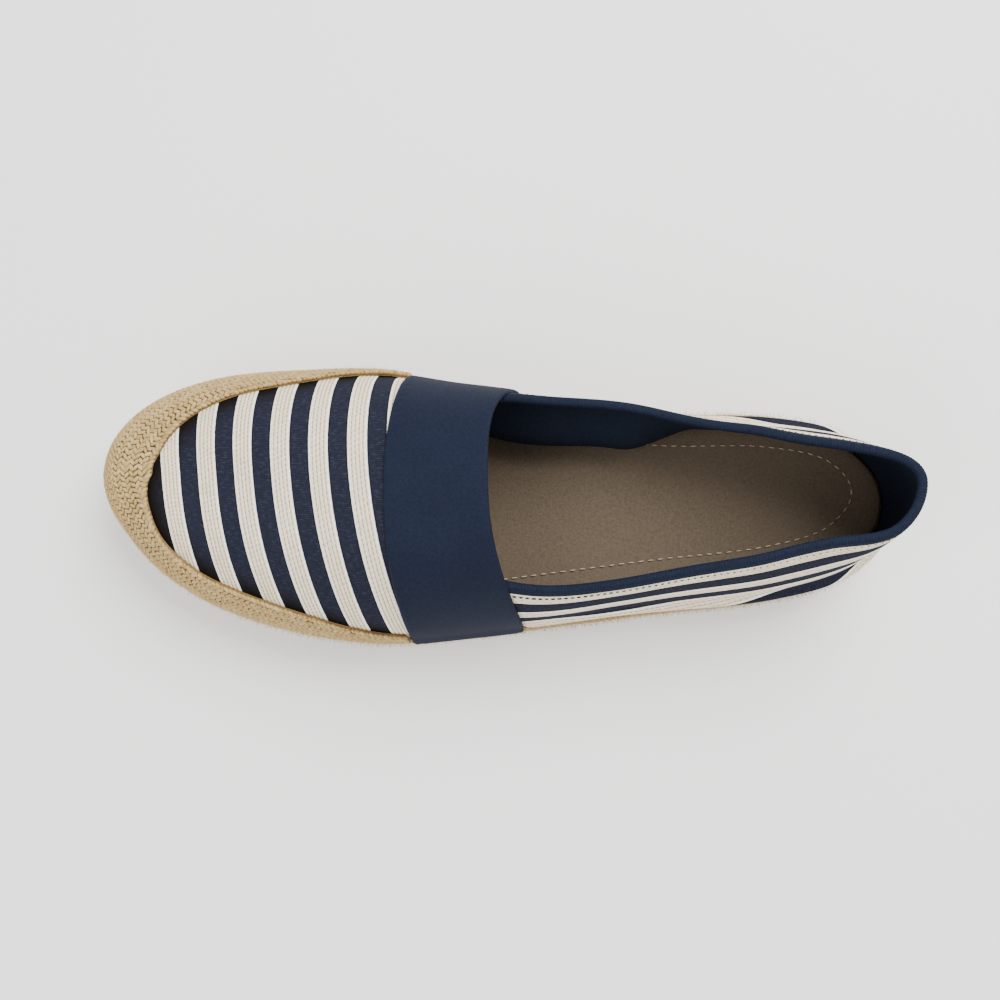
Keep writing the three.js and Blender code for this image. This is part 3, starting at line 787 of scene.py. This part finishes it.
def quarterPieces():
    places = heelPlaces(quarters["columns"])
    tops = toplineClimb(places)
    share = np.linspace(0, 1, quarters["rows"])
    climbs, height = climbsAlong(places, tops, np.zeros(len(places)), np.zeros(1))
    depths = height[:, None] * share
    climbs, height = climbsAlong(places, tops, np.zeros(len(places)), depths)
    placeGrid = np.broadcast_to(places[:, None], climbs.shape)
    base = onLast(placeGrid, climbs)
    normal = lastNormal(placeGrid, climbs)
    # the navy takes the wider part of each period
    periods = (depths - quarters["binding"]) / quarters["period"]
    whole = np.floor(periods)
    rest = periods - whole
    cream = quarters["creamShare"]
    count = whole + np.where(rest < cream, rest / cream / 2, 0.5 + (rest - cream) / (1 - cream) / 2)
    along = lengthAlong(base[:, 0])[:, None]
    # it reaches furthest beside the heel on the outer side and ends where the band covers it
    beside = np.clip(places / 0.1, 0, 1)[:, None] * np.clip((90 - base[..., 0]) / 35, 0, 1)
    reach = quarters["roll"] + (quarters["rollHeel"] - quarters["roll"]) * beside
    reach = reach * np.clip((quarters["rollEnd"] - base[..., 0]) / 5, 0, 1)
    above = height[:, None] - depths
    roll = reach * np.exp(-((above - quarters["rollAt"]) / quarters["rollWidth"]) ** 2)
    # the two sides are sewn together up the middle of the heel
    seam = quarters["seamDepth"] * np.exp(-((along - along.mean()) / quarters["seamWidth"]) ** 2)
    seam = seam * np.minimum(1, depths / 4)
    relief = (np.where(count > 0, cordRelief(count), 0) + roll - seam)[..., None]
    cloth = np.zeros(base.shape)
    cloth[..., 0] = along
    cloth[..., 1] = count
    outer = sheetPiece("quarters", base + normal * relief, base - normal * quarters["thick"],
                       {"cloth": cloth})
    finishPiece(outer, canvas, "striped_cloth")
    # on the inner side of the foot the lining bags out from the wall
    bagged = (base[:, 0, 0] - quarters["slackFrom"]) / (quarters["slackFull"] - quarters["slackFrom"])
    part = np.where(places < 0, np.clip(bagged, 0, 1), 0)[:, None]
    ripple = 1 + 0.12 * np.sin(along / 9.0)
    bag = np.sin(math.pi * share[None, :] ** 1.3) ** 1.5
    slack = quarters["slack"] * part**2 * (3 - 2 * part) * ripple * bag
    start = (quarters["thick"] + 0.1 + slack)[..., None]
    cloth = cloth.copy()
    cloth[..., 1] = depths
    skip = slice(None, None, 3)
    lining = sheetPiece("quarter_lining", (base - normal * start)[skip, skip],
                        (base - normal * (start + quarters["liningThick"]))[skip, skip],
                        {"cloth": cloth[skip, skip]})
    finishPiece(lining, drill, "striped_cloth")


binding = {
    "width": 3.3,
    "lift": 0.45,  # how far the tape stands off the cloth, and at its hem
    "hemLift": 0.12,
    "ribs": 0.9,  # one rib to the next
    "ribHeight": 0.08,
    "columns": 850,
    "sink": 1.0,  # the fold starts this far below the topline
    "stitchDepth": 4.7,
    "stitchLift": 0.28,
}


def bindingPiece():
    places = heelPlaces(binding["columns"])
    tops = toplineClimb(places)
    wall = quarters["thick"] + 0.1 + quarters["liningThick"]
    depths = np.array([binding["sink"] + 0.3, binding["sink"], 1.8, 2.6, binding["width"]])
    climbs, height = climbsAlong(places, tops, np.zeros(len(places)), depths)
    edge = onLast(places, climbs[:, 1])
    below = onLast(places, climbs[:, 0])
    up = unit(edge - below)
    out = lastNormal(places, climbs[:, 1])
    run = lengthAlong(edge)
    rib = binding["ribHeight"] * np.abs(np.sin(math.pi * run / binding["ribs"]))
    centre = edge - out * wall / 2
    reach = wall / 2 + binding["lift"]
    rows = []
    for k in (4, 3, 2):  # up the outside
        lift = binding["hemLift"] if k == 4 else binding["lift"]
        rows.append(onForm(places, climbs[:, k], lift + rib))
    for angle in np.linspace(0, math.pi, 9):  # over the edge
        rows.append(centre + out * ((reach + rib) * math.cos(angle))[:, None]
                    + up * ((reach + rib) * math.sin(angle))[:, None])
    for k in (2, 3, 4):  # and down inside
        lift = binding["hemLift"] if k == 4 else binding["lift"]
        rows.append(onForm(places, climbs[:, k], -wall - lift - rib))
    outside = np.stack(rows)
    # the same tape's inner face, just inside
    core = onForm(places, climbs[:, 2], np.full(len(places), -wall / 2))
    inside = outside + (core[None] - outside) * 0.25
    cloth = np.zeros(outside.shape)
    cloth[..., 0] = run[None, :]
    cloth[..., 1] = np.linspace(0, 12, len(rows))[:, None]
    tape = sheetPiece("collar_binding", outside, inside, {"cloth": cloth})
    finishPiece(tape, grosgrain, "elastic")
    # running stitches just below the tape, which sink into the cloth towards the heel
    depth = np.array([binding["stitchDepth"]])
    stitchClimbs, height = climbsAlong(places, tops, np.zeros(len(places)), depth)
    line = onForm(places, stitchClimbs[:, 0], np.full(len(places), binding["stitchLift"]))
    size = 0.45 + 0.55 * np.clip((edge[:, 0] - 50) / 60, 0, 1)
    guides = [(line[::4], lastNormal(places, stitchClimbs[:, 0])[::4], 0.0, size[::4])]
    stitches = bulgesAlong("collar_stitches", guides, navyThread, Spacing=0.0019, Length=0.0013,
                           Width=0.0005, Height=0.0005, Unevenness=0.12, Seed=3, Segments=6)
    finishPiece(stitches, None, "elastic")


bindingPiece()
vampPiece()
quarterPieces()

print("upper ready")


band = {
    "front": 158.6,  # on the ridge; both edges sweep back from there down to the sole
    "rear": 129.0,
    "frontSweep": 5.0,
    "rearSweep": 10.5,
    "gap": 0.3,
    "thick": 1.2,
    "columns": 180,
    "rows": 60,
    "foldLine": 2.2,  # the seam inside the front edge
    "hemLine": 1.3,  # and inside the rear edge
    "seamDepth": 0.14,
    "seamWidth": 0.35,
    "hemWidth": 0.3,
    "edgeRound": 0.35,
    "puckers": 3.1,  # one pucker to the next
    "turnOut": 1.3,  # the ends turn out this far over the ledge of the sole
}


# A grid over the instep between two lines that sweep back on both sides
def overInstep(rear, front, rearSweep, frontSweep, columns, shares):
    way = np.linspace(-1, 1, columns + 1)
    climb = np.broadcast_to((1 - np.abs(way))[None, :], (len(shares), columns + 1))
    fall = np.cos(climb * math.pi / 2) ** 2
    start = rear - rearSweep * fall
    end = front - frontSweep * fall
    target = start + (end - start) * np.array(shares)[:, None]
    outer = way[None, :] > 0

    def beyond(turn):
        return onLast(np.where(outer, turn, 2 - turn), climb)[..., 0] - target

    turn = firstWhere(beyond, np.zeros(climb.shape), np.ones(climb.shape))
    return np.where(outer, turn, 2 - turn), climb


def bandPieces():
    shares = np.linspace(0, 1, band["rows"] + 1)
    place, climb = overInstep(band["rear"], band["front"], band["rearSweep"], band["frontSweep"],
                              band["columns"], shares)
    base = onLast(place, climb)
    normal = lastNormal(place, climb)
    width = band["front"] - band["rear"]
    fromFront = (1 - shares)[:, None] * width
    fromRear = shares[:, None] * width
    run = lengthAlong(base[len(base) // 2])[None, :]
    # seams pull the cloth down in a line, with small puckers beside it
    seam = np.exp(-((fromFront - band["foldLine"]) / band["seamWidth"]) ** 2)
    seam = seam + 0.6 * np.exp(-((fromRear - band["hemLine"]) / band["hemWidth"]) ** 2)
    pucker = np.sin(2 * math.pi * run / band["puckers"])
    pucker = pucker * np.exp(-((fromFront - band["foldLine"]) / 1.6) ** 2)
    rounding = 0.5 * (np.exp(-fromFront / band["edgeRound"]) + np.exp(-fromRear / band["edgeRound"]))
    relief = -band["seamDepth"] * seam + 0.04 * pucker - rounding
    turned = band["turnOut"] * np.exp(-((climb / 0.07) ** 2))
    top = base + normal * (band["gap"] + band["thick"] + relief + turned)[..., None]
    bottom = base + normal * (band["gap"] + turned)[..., None]
    cloth = np.zeros(base.shape)
    cloth[..., 0] = run
    cloth[..., 1] = fromRear
    piece = sheetPiece("elastic_band", top, bottom, {"cloth": cloth})
    finishPiece(piece, elasticWeb, "elastic", "elastic_band")
    # sewn rows along both edges
    guides = []
    for distance, edge in ((band["foldLine"], "front"), (band["hemLine"], "rear")):
        share = 1 - distance / width if edge == "front" else distance / width
        row = int(round(share * band["rows"]))
        line = base[row] + normal[row] * (band["gap"] + band["thick"] - band["seamDepth"])
        guides.append((line, normal[row], 0.0, 1.0))
    stitches = bulgesAlong("band_stitches", guides, bandThread, Spacing=0.0024, Length=0.0018,
                           Width=0.0003, Height=0.0003, Unevenness=0.05, Seed=5, Segments=6)
    finishPiece(stitches, None, "elastic")


calicoLining = {
    "start": 156.0,  # the vamp's lining begins here on the ridge
    "rows": 90,
    "columns": 24,
    "top": -1.0,  # under the last's surface
    "bottom": -1.75,
    "bandTop": -0.95,
    "bandInset": 2.5,  # the band's lining stays this far in front of the band's rear edge
    "bandFrontSweep": 8.0,
}


def calicoPiece(name, place, climb, top):
    full = np.full(climb.shape, 1.0)
    piece = sheetPiece(name, onForm(place, climb, top * full),
                       onForm(place, climb, calicoLining["bottom"] * full), {"cloth": onLast(place, climb)})
    finishPiece(piece, calico, "striped_cloth")


def linings():
    place, climb = overInstep(band["rear"] + calicoLining["bandInset"], band["front"], band["rearSweep"],
                              calicoLining["bandFrontSweep"], 80, np.linspace(0, 1, 12))
    calicoPiece("instep_lining", place, climb, calicoLining["bandTop"])
    start = float(turnOf(stationUnder(calicoLining["start"])))
    places = np.linspace(start, 2 - start, calicoLining["rows"])
    climbs = np.linspace(0, 1, calicoLining["columns"])
    place, climb = np.broadcast_arrays(places[:, None], climbs[None, :])
    calicoPiece("vamp_lining", place, climb, calicoLining["top"])


bandPieces()
linings()

print("band and linings ready")


# The real plait is a little finer. Its strands' sizes are in metres, as the bulges want them
braid = {
    "rowHeight": 1.5,  # half a plait
    "spacing": 0.00178,
    "length": 0.0028,
    "width": 0.00142,
    "height": 0.0011,
    "slant": math.radians(44),
    "shoulder": 0.9,  # the rows begin this far below the top of the sole
    "depth": 0.45,  # middle of a strand, inside the outline
    "shoulderDepth": 0.75,  # and in the uppermost row, which leans inwards
    "ledgeDepth": 1.5,  # and in the row lying on the ledge
    "ledgeSize": 0.92,
}


# The way straight out of the sole's outline, level
def outlineOutward(place):
    station, s0, y0 = outline(place)
    station, s1, y1 = outline(place, -1.0)
    return np.stack([s1 - s0, y1 - y0, np.zeros(len(place))], -1)


# Splits a row of points where it is absent, and gives each run of it as a guide
def presentRuns(present, points, out, slant, size):
    guides = []
    start = None
    for i in range(len(present) + 1):
        here = i < len(present) and present[i]
        if here and start is None:
            start = i
        if not here and start is not None:
            if i - start > 2:
                part = slice(start, i)
                guides.append((points[part], out[part], slant, size[part]))
            start = None
    return guides


# Closed rings of the sole's outline, for slabs
def ringsPiece(name, rings, places):
    rows = []
    for inset, height in rings:
        station, s, y = outline(places, inset)
        rows.append(np.stack([s, y, height(s)], -1))
    points = np.concatenate(rows)
    columns = len(places)
    faces = gridFaces(len(rows), columns, closed=True)
    for ring, turned in ((0, False), (len(rows) - 1, True)):
        first = ring * columns
        # strips across the slab; the one at each end is a triangle
        for i in range(columns // 2):
            corners = (i, i + 1, (columns - i - 1) % columns, (columns - i) % columns)
            face = [first + k for k in dict.fromkeys(corners)]
            faces.append(tuple(face[::-1] if turned else face))
    return meshObject(name, points, faces)


def juteSole():
    places = np.linspace(0, 2, 721)[:-1]

    def foot(s):
        return underside(s) + shoe["rubber"] + shoe["gap"]

    core = ringsPiece("jute_sole_core", [
        (1.0, foot),
        (0.7, lambda s: foot(s) + 1),
        (0.7, lambda s: soleTop(s) - 1.6),
        (1.6, lambda s: soleTop(s) - 0.5),
        (2.4, lambda s: soleTop(s) - 0.3),
    ], places)
    core.data.materials.append(slitShadeFiller)
    smooth(core)
    ring = np.linspace(0, 2, 1441)
    station, s0, y0 = outline(ring)
    outward = outlineOutward(ring)
    upward = np.array([0, 0, 1.0])
    everywhere = np.ones(len(ring), bool)
    guides = []
    # a row lying on the ledge round the upper
    station, s, y = outline(ring, braid["ledgeDepth"])
    line = np.stack([s, y, soleTop(s) - 0.25], -1)
    guides += presentRuns(everywhere, line, unit(outward * 0.45 + upward), braid["slant"],
                          np.full(len(ring), braid["ledgeSize"]))
    height = soleTop(s0) - foot(s0) - braid["shoulder"]
    rowCount = np.maximum(2, np.round(height / braid["rowHeight"]))
    for k in range(int(rowCount.max())):
        present = rowCount > k
        isLast = rowCount == k + 1
        bottom = np.where(isLast, height, (k + 1) * braid["rowHeight"])
        middle = (k * braid["rowHeight"] + bottom) / 2
        size = np.clip((bottom - k * braid["rowHeight"]) / braid["rowHeight"], 0.6, 1.3)
        station, s, y = outline(ring, braid["shoulderDepth"] if k == 0 else braid["depth"])
        line = np.stack([s, y, soleTop(s) - braid["shoulder"] - middle], -1)
        tilt = 0.5 if k == 0 else 0.0
        slant = -braid["slant"] if k % 2 == 0 else braid["slant"]
        guides += presentRuns(present, line, unit(outward + upward * tilt), slant, size)
    strands = bulgesAlong("jute_sole_strands", guides, jute, Spacing=braid["spacing"],
                          Length=braid["length"], Width=braid["width"], Height=braid["height"],
                          Unevenness=0.12, Seed=11, Segments=8)
    piece = joined("jute_sole", [core, strands])
    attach(piece, "root")
    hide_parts("midsole")
    print(f"jute_sole: {len(piece.data.polygons)} faces")


def juteBumper():
    # how far round it begins on either side of the shoe
    def turnAt(isOuter):
        def beyond(turn):
            return onLast(turn if isOuter else 2 - turn, np.zeros(1))[..., 0] - bumper["end"]

        return float(firstWhere(beyond, np.zeros(1), np.ones(1))[0])

    places = np.linspace(turnAt(True), 2 - turnAt(False), 361)
    tops = bumperTop(places)
    zeros = np.zeros(len(places))
    climbs, height = climbsAlong(places, zeros, tops, np.zeros(1))
    share = np.linspace(0, 1, 16)
    climbs, height = climbsAlong(places, zeros, tops, height[:, None] * share)
    grid = np.broadcast_to(places[:, None], climbs.shape)
    full = np.full(climbs.shape, 1.0)
    # the filler thins out towards the turned edge, so that only strands show there
    sunk = bumper["gap"] + (bumper["thick"] - 0.9) * np.clip((1 - share) * 5, 0.12, 1)
    core = sheetPiece("jute_bumper_core", onForm(grid, climbs, sunk * full),
                      onForm(grid, climbs, bumper["gap"] * full))
    core.data.materials.append(slitShadeFiller)
    smooth(core)
    guides = []
    rows = int(height.max() / braid["rowHeight"]) + 1
    lift = bumper["gap"] + bumper["thick"] - 0.55
    for k in range(rows):
        middle = (k + 0.5) * braid["rowHeight"]
        present = middle < height - bumper["roll"] * 0.6
        at, total = climbsAlong(places, zeros, tops, np.array([middle]))
        line = onForm(places, at[:, 0], lift + zeros)
        slant = braid["slant"] if k % 2 == 0 else -braid["slant"]
        guides += presentRuns(present, line, lastNormal(places, at[:, 0]), slant, 1 + zeros)
    strands = bulgesAlong("jute_bumper_strands", guides, jute, Spacing=braid["spacing"],
                          Length=braid["length"], Width=braid["width"], Height=braid["height"],
                          Unevenness=0.14, Seed=21, Segments=8)
    # one more row, turned over the upper edge, finishes it
    at, total = climbsAlong(places, tops, zeros, np.array([bumper["roll"] * 0.45]))
    line = onForm(places, at[:, 0], 1.2 + zeros)
    edge = bulgesAlong("jute_bumper_edge", [(line, lastNormal(places, at[:, 0]), -0.62, 1.0)], jute,
                       Spacing=0.0015, Length=0.0029, Width=0.0013, Height=0.0017,
                       Unevenness=0.2, Seed=23, Segments=8)
    piece = joined("jute_toe_bumper", [core, strands, edge])
    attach(piece, "root")
    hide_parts("toe_bumper")
    print(f"jute_toe_bumper: {len(piece.data.polygons)} faces")


# Real fibres are more and finer; these are drawn a few times thicker. Sizes in metres but for the rows
fuzz = {
    "length": 0.0024,
    "width": 0.00007,
    "spacing": 0.00032,
    "spread": 0.95,
    "soleRows": [(0.2, 1.0, 1.0), (-0.1, 3.4, 0.8), (-0.1, 7.0, 0.7)],  # inset, drop from the top, size
    "bumperRows": [0.8, 5.0],  # mm from the bumper's edge
    "bumperSize": 0.6,
}


# Loose fibres stand off the jute all round, the longest along the upper edge of the sole
def juteFuzz():
    ring = np.linspace(0, 2, 2001)
    leaning = unit(np.array([0, 0, 1.0]) + 0.35 * unit(outlineOutward(ring)))
    guides = []
    for inset, drop, size in fuzz["soleRows"]:
        station, s, y = outline(ring, inset)
        line = np.stack([s, y, soleTop(s) - drop], -1)
        guides.append((line, leaning, math.pi / 2, size))
    places = np.linspace(bumper["edgeFrom"], 2 - bumper["edgeFrom"], 700)
    tops = bumperTop(places)
    for back in fuzz["bumperRows"]:
        at, total = climbsAlong(places, tops, np.zeros(len(places)), np.array([back]))
        line = onForm(places, at[:, 0], np.full(len(places), bumper["gap"] + bumper["thick"] + 0.1))
        along = unit(np.gradient(line, axis=0))
        out = lastNormal(places, at[:, 0])
        tilted = unit(out + 0.8 * unit(np.cross(along, out)))
        guides.append((line, tilted, math.pi / 2, fuzz["bumperSize"]))
    hairs = bulgesAlong("jute_fuzz", guides, jute, Spacing=fuzz["spacing"], Length=fuzz["length"],
                        Width=fuzz["width"], Height=fuzz["width"], Unevenness=fuzz["spread"], Seed=41,
                        Segments=3)
    finishPiece(hairs, None, "jute")


juteSole()
juteBumper()
juteFuzz()

print("jute ready")


sock = {
    "inset": 4.5,  # from the sole's outline
    "thick": 2.6,
    # further in from the edge, share of the thickness there: a rounded edge and a shallow dish
    "profile": [(0.0, 0.55), (0.3, 0.85), (1.2, 1.0), (4.0, 0.98), (8.0, 0.9), (14.0, 0.78)],
    "stitchInset": 9.5,  # further in from the edge
    "stitchShift": 3.0,  # and the whole row lies this much nearer the inner side of the foot
}


def sockPiece():
    places = np.linspace(0, 2, 361)[:-1]
    floor = shoe["gap"]
    rings = [(sock["inset"], lambda s: soleTop(s) + floor)]
    for step, share in sock["profile"]:
        rings.append((sock["inset"] + step,
                      lambda s, share=share: soleTop(s) + floor + sock["thick"] * share))
    piece = ringsPiece("insole_sock", rings, places)
    finishPiece(piece, sockCloth, "insole_sock", "insole")
    ring = np.linspace(0, 2, 721)
    station, s, y = outline(ring, sock["inset"] + sock["stitchInset"])
    line = np.stack([s, y - sock["stitchShift"], soleTop(s) + floor + sock["thick"] * 0.98], -1)
    up = np.broadcast_to(np.array([0, 0, 1.0]), line.shape)
    stitches = bulgesAlong("sock_stitches", [(line, up, 0.0, 1.0)], tanThread, Spacing=0.0031,
                           Length=0.0020, Width=0.0004, Height=0.0004, Unevenness=0.06, Seed=31, Segments=6)
    finishPiece(stitches, None, "insole_sock")


outsole = {
    "bevel": 0.8,
    "bars": 4.2,  # one bar of the tread to the next
    "barDepth": 0.6,
    "border": 5.0,  # plain rubber round the tread
}


def outsolePiece():
    stations = np.linspace(0, 1, 701)
    places = np.concatenate([stations, (2 - stations[1:-1])[::-1]])
    bevel = outsole["bevel"]

    # grooves across the sole inside a plain border
    def tread(s):
        wave = np.clip(np.cos(2 * math.pi * s / outsole["bars"]) * 2.2 - 0.9, 0, 1)
        return underside(s) + outsole["barDepth"] * wave

    rings = [
        (outsole["border"] + 0.5, tread),
        (outsole["border"], underside),
        (bevel, underside),
        (0.0, lambda s: underside(s) + bevel),
        (0.0, lambda s: underside(s) + shoe["rubber"]),
    ]
    piece = ringsPiece("rubber_outsole", rings, places)
    finishPiece(piece, crepe, "rubber_outsole", "outsole")


sockPiece()
outsolePiece()

print("insole and outsole ready")

studio = {
    "floor": "#fafaf8",
    "world": "#f4f5f7",
    "worldStrength": 1.04,
    "cameraPlace": (-0.00035, 0.0422, 0.3909),
    "aim": (0.0, 0.0, 0.03),
    "lens": 42.0,
}


def stageAndLights():
    mesh = bpy.data.meshes.new("studio floor")
    half = 1.5
    mesh.from_pydata([(-half, -half, -0.0002), (half, -half, -0.0002), (half, half, -0.0002),
                      (-half, half, -0.0002)], [], [(0, 1, 2, 3)])
    floor = bpy.data.objects.new("studio floor", mesh)
    bpy.context.scene.collection.objects.link(floor)
    material, tree, shader = newMaterial("matt paper backdrop", 0.95)
    shader.inputs["Base Color"].default_value = color(studio["floor"])
    mesh.materials.append(material)
    world = bpy.data.worlds.new("studio")
    world.use_nodes = True
    background = world.node_tree.nodes["Background"]
    background.inputs[0].default_value = color(studio["world"])
    background.inputs[1].default_value = studio["worldStrength"]
    bpy.context.scene.world = world
    for name, place, size, power in (("key softbox", (-0.35, -0.45, 0.85), 0.7, 17.0),
                                     ("fill softbox", (0.6, 0.5, 0.7), 0.9, 7.2)):
        light = bpy.data.lights.new(name, "AREA")
        light.size = size
        light.energy = power
        lamp = bpy.data.objects.new(name, light)
        lamp.location = place
        aim = -np.array(place) / np.linalg.norm(place)
        # a lamp shines along its own -Z
        lamp.rotation_euler = (math.acos(-aim[2]), 0, math.atan2(aim[1], aim[0]) - math.pi / 2)
        bpy.context.scene.collection.objects.link(lamp)
    lens = bpy.data.cameras.new("camera")
    lens.lens = studio["lens"]
    lens.clip_start = 0.01
    camera = bpy.data.objects.new("camera", lens)
    camera.location = studio["cameraPlace"]
    toShoe = np.array(studio["aim"]) - np.array(studio["cameraPlace"])
    camera.rotation_euler = (math.atan2(-toShoe[1], -toShoe[2]), 0, math.pi)
    bpy.context.scene.collection.objects.link(camera)
    bpy.context.scene.camera = camera


stageAndLights()

print("stage ready")
